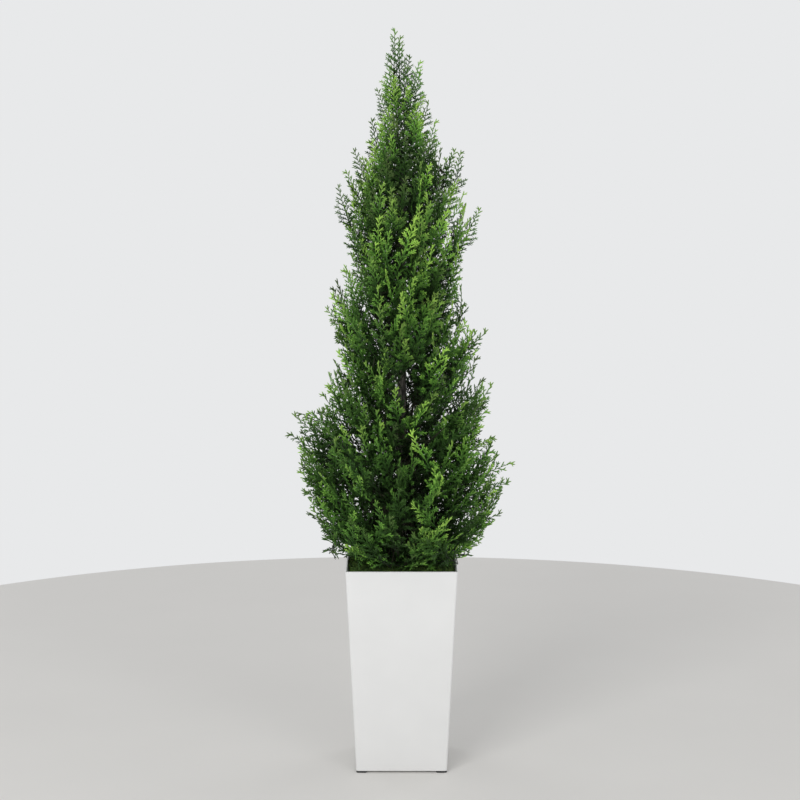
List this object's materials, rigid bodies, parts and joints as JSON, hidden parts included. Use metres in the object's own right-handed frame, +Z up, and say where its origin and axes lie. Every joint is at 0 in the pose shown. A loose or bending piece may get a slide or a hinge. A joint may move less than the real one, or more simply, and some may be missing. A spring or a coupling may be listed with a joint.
{
  "type": "artificial potted tree",
  "caption": "Artificial mini cedar with bendable wire boughs, standing in a tall square tapered planter, from which it lifts out in its weighted pot.",
  "frame": {"origin": "centre of the planter's base, on the floor", "axes": "+Z up the trunk; -Y is the front, +X to the right seen from the front"},
  "size_m": [0.4132, 0.3843, 1.3721],
  "materials": {
    "planter_plastic": "satin",
    "foot_rubber": "matte",
    "foam": "matte",
    "pot_plastic": "matte",
    "cement": "matte",
    "moss": "matte",
    "steel": "satin",
    "bark_plastic": "matte",
    "stem_wrap": "matte",
    "foliage": "satin"
  },
  "bodies": {
    "planter": {"foam_collar": "foam", "foam_riser": "foam", "planter_foot_back_left": "foot_rubber", "planter_foot_back_right": "foot_rubber", "planter_foot_front_left": "foot_rubber", "planter_foot_front_right": "foot_rubber", "planter_shell": "planter_plastic"},
    "tree": {"nursery_pot": "pot_plastic", "ballast": "cement", "moss_mat": "moss", "trunk_core": "steel", "trunk_bark": "bark_plastic"},
    "bough_01": {"bough_01_stem": "stem_wrap", "bough_01_foliage": "foliage"},
    "bough_02": {"bough_02_stem": "stem_wrap", "bough_02_foliage": "foliage"},
    "bough_03": {"bough_03_stem": "stem_wrap", "bough_03_foliage": "foliage"},
    "bough_04": {"bough_04_stem": "stem_wrap", "bough_04_foliage": "foliage"},
    "bough_05": {"bough_05_stem": "stem_wrap", "bough_05_foliage": "foliage"},
    "bough_06": {"bough_06_stem": "stem_wrap", "bough_06_foliage": "foliage"},
    "bough_07": {"bough_07_stem": "stem_wrap", "bough_07_foliage": "foliage"},
    "bough_08": {"bough_08_stem": "stem_wrap", "bough_08_foliage": "foliage"},
    "bough_09": {"bough_09_stem": "stem_wrap", "bough_09_foliage": "foliage"},
    "bough_10": {"bough_10_stem": "stem_wrap", "bough_10_foliage": "foliage"},
    "bough_11": {"bough_11_stem": "stem_wrap", "bough_11_foliage": "foliage"},
    "bough_12": {"bough_12_stem": "stem_wrap", "bough_12_foliage": "foliage"},
    "bough_13": {"bough_13_stem": "stem_wrap", "bough_13_foliage": "foliage"},
    "bough_14": {"bough_14_stem": "stem_wrap", "bough_14_foliage": "foliage"},
    "bough_15": {"bough_15_stem": "stem_wrap", "bough_15_foliage": "foliage"},
    "bough_16": {"bough_16_stem": "stem_wrap", "bough_16_foliage": "foliage"},
    "bough_17": {"bough_17_stem": "stem_wrap", "bough_17_foliage": "foliage"},
    "bough_18": {"bough_18_stem": "stem_wrap", "bough_18_foliage": "foliage"},
    "bough_19": {"bough_19_stem": "stem_wrap", "bough_19_foliage": "foliage"},
    "bough_20": {"bough_20_stem": "stem_wrap", "bough_20_foliage": "foliage"},
    "bough_21": {"bough_21_stem": "stem_wrap", "bough_21_foliage": "foliage"},
    "leader": {"leader_stem": "stem_wrap", "leader_foliage": "foliage"}
  },
  "joints": [
    {"name": "tree_lift", "type": "slide", "parent": "planter", "child": "tree", "axis": [0, 0, 1], "range_m": [0, 0.2]},
    {"name": "bough_01_bend", "type": "hinge", "parent": "tree", "child": "bough_01", "pos_m": [0.00923, 0, 0.429], "axis": [0, -1, 0], "range_deg": [-25, 22]},
    {"name": "bough_02_bend", "type": "hinge", "parent": "tree", "child": "bough_02", "pos_m": [-0.00455, 0.00788, 0.46215], "axis": [0.866, 0.5, 0], "range_deg": [-25, 22]},
    {"name": "bough_03_bend", "type": "hinge", "parent": "tree", "child": "bough_03", "pos_m": [-0.00449, -0.00777, 0.4953], "axis": [-0.866, 0.5, 0], "range_deg": [-25, 22]},
    {"name": "bough_04_bend", "type": "hinge", "parent": "tree", "child": "bough_04", "pos_m": [0.00443, 0.00766, 0.52845], "axis": [0.866, -0.5, 0], "range_deg": [-30, 24]},
    {"name": "bough_05_bend", "type": "hinge", "parent": "tree", "child": "bough_05", "pos_m": [-0.00872, 0, 0.5616], "axis": [0, 1, 0], "range_deg": [-30, 24]},
    {"name": "bough_06_bend", "type": "hinge", "parent": "tree", "child": "bough_06", "pos_m": [0.0043, -0.00745, 0.59475], "axis": [-0.866, -0.5, 0], "range_deg": [-30, 24]},
    {"name": "bough_07_bend", "type": "hinge", "parent": "tree", "child": "bough_07", "pos_m": [-0.00424, 0.00734, 0.6279], "axis": [0.866, 0.5, 0], "range_deg": [-30, 20]},
    {"name": "bough_08_bend", "type": "hinge", "parent": "tree", "child": "bough_08", "pos_m": [-0.00417, -0.00723, 0.66105], "axis": [-0.866, 0.5, 0], "range_deg": [-30, 20]},
    {"name": "bough_09_bend", "type": "hinge", "parent": "tree", "child": "bough_09", "pos_m": [0.00822, 0, 0.6942], "axis": [0, -1, 0], "range_deg": [-30, 20]},
    {"name": "bough_10_bend", "type": "hinge", "parent": "tree", "child": "bough_10", "pos_m": [-0.0081, 0, 0.72735], "axis": [0, 1, 0], "range_deg": [-30, 14]},
    {"name": "bough_11_bend", "type": "hinge", "parent": "tree", "child": "bough_11", "pos_m": [0.00398, -0.0069, 0.7605], "axis": [-0.866, -0.5, 0], "range_deg": [-30, 14]},
    {"name": "bough_12_bend", "type": "hinge", "parent": "tree", "child": "bough_12", "pos_m": [0.00392, 0.00679, 0.79365], "axis": [0.866, -0.5, 0], "range_deg": [-30, 14]},
    {"name": "bough_13_bend", "type": "hinge", "parent": "tree", "child": "bough_13", "pos_m": [-0.00386, -0.00668, 0.8268], "axis": [-0.866, 0.5, 0], "range_deg": [-30, 12]},
    {"name": "bough_14_bend", "type": "hinge", "parent": "tree", "child": "bough_14", "pos_m": [0.00759, 0, 0.85995], "axis": [0, -1, 0], "range_deg": [-30, 12]},
    {"name": "bough_15_bend", "type": "hinge", "parent": "tree", "child": "bough_15", "pos_m": [-0.00373, 0.00647, 0.8931], "axis": [0.866, 0.5, 0], "range_deg": [-30, 12]},
    {"name": "bough_16_bend", "type": "hinge", "parent": "tree", "child": "bough_16", "pos_m": [0.00367, -0.00636, 0.92625], "axis": [-0.866, -0.5, 0], "range_deg": [-26, 18]},
    {"name": "bough_17_bend", "type": "hinge", "parent": "tree", "child": "bough_17", "pos_m": [0.00361, 0.00625, 0.9594], "axis": [0.866, -0.5, 0], "range_deg": [-26, 18]},
    {"name": "bough_18_bend", "type": "hinge", "parent": "tree", "child": "bough_18", "pos_m": [-0.00709, 0, 0.99255], "axis": [0, 1, 0], "range_deg": [-26, 18]},
    {"name": "bough_19_bend", "type": "hinge", "parent": "tree", "child": "bough_19", "pos_m": [0.00696, 0, 1.0257], "axis": [0, -1, 0], "range_deg": [-26, 12]},
    {"name": "bough_20_bend", "type": "hinge", "parent": "tree", "child": "bough_20", "pos_m": [-0.00342, 0.00592, 1.05885], "axis": [0.866, 0.5, 0], "range_deg": [-26, 12]},
    {"name": "bough_21_bend", "type": "hinge", "parent": "tree", "child": "bough_21", "pos_m": [-0.00336, -0.00581, 1.092], "axis": [-0.866, 0.5, 0], "range_deg": [-26, 12]},
    {"name": "leader_bend", "type": "hinge", "parent": "tree", "child": "leader", "pos_m": [0, 0, 1.122], "axis": [0, 1, 0], "range_deg": [-22, 22]}
  ]
}
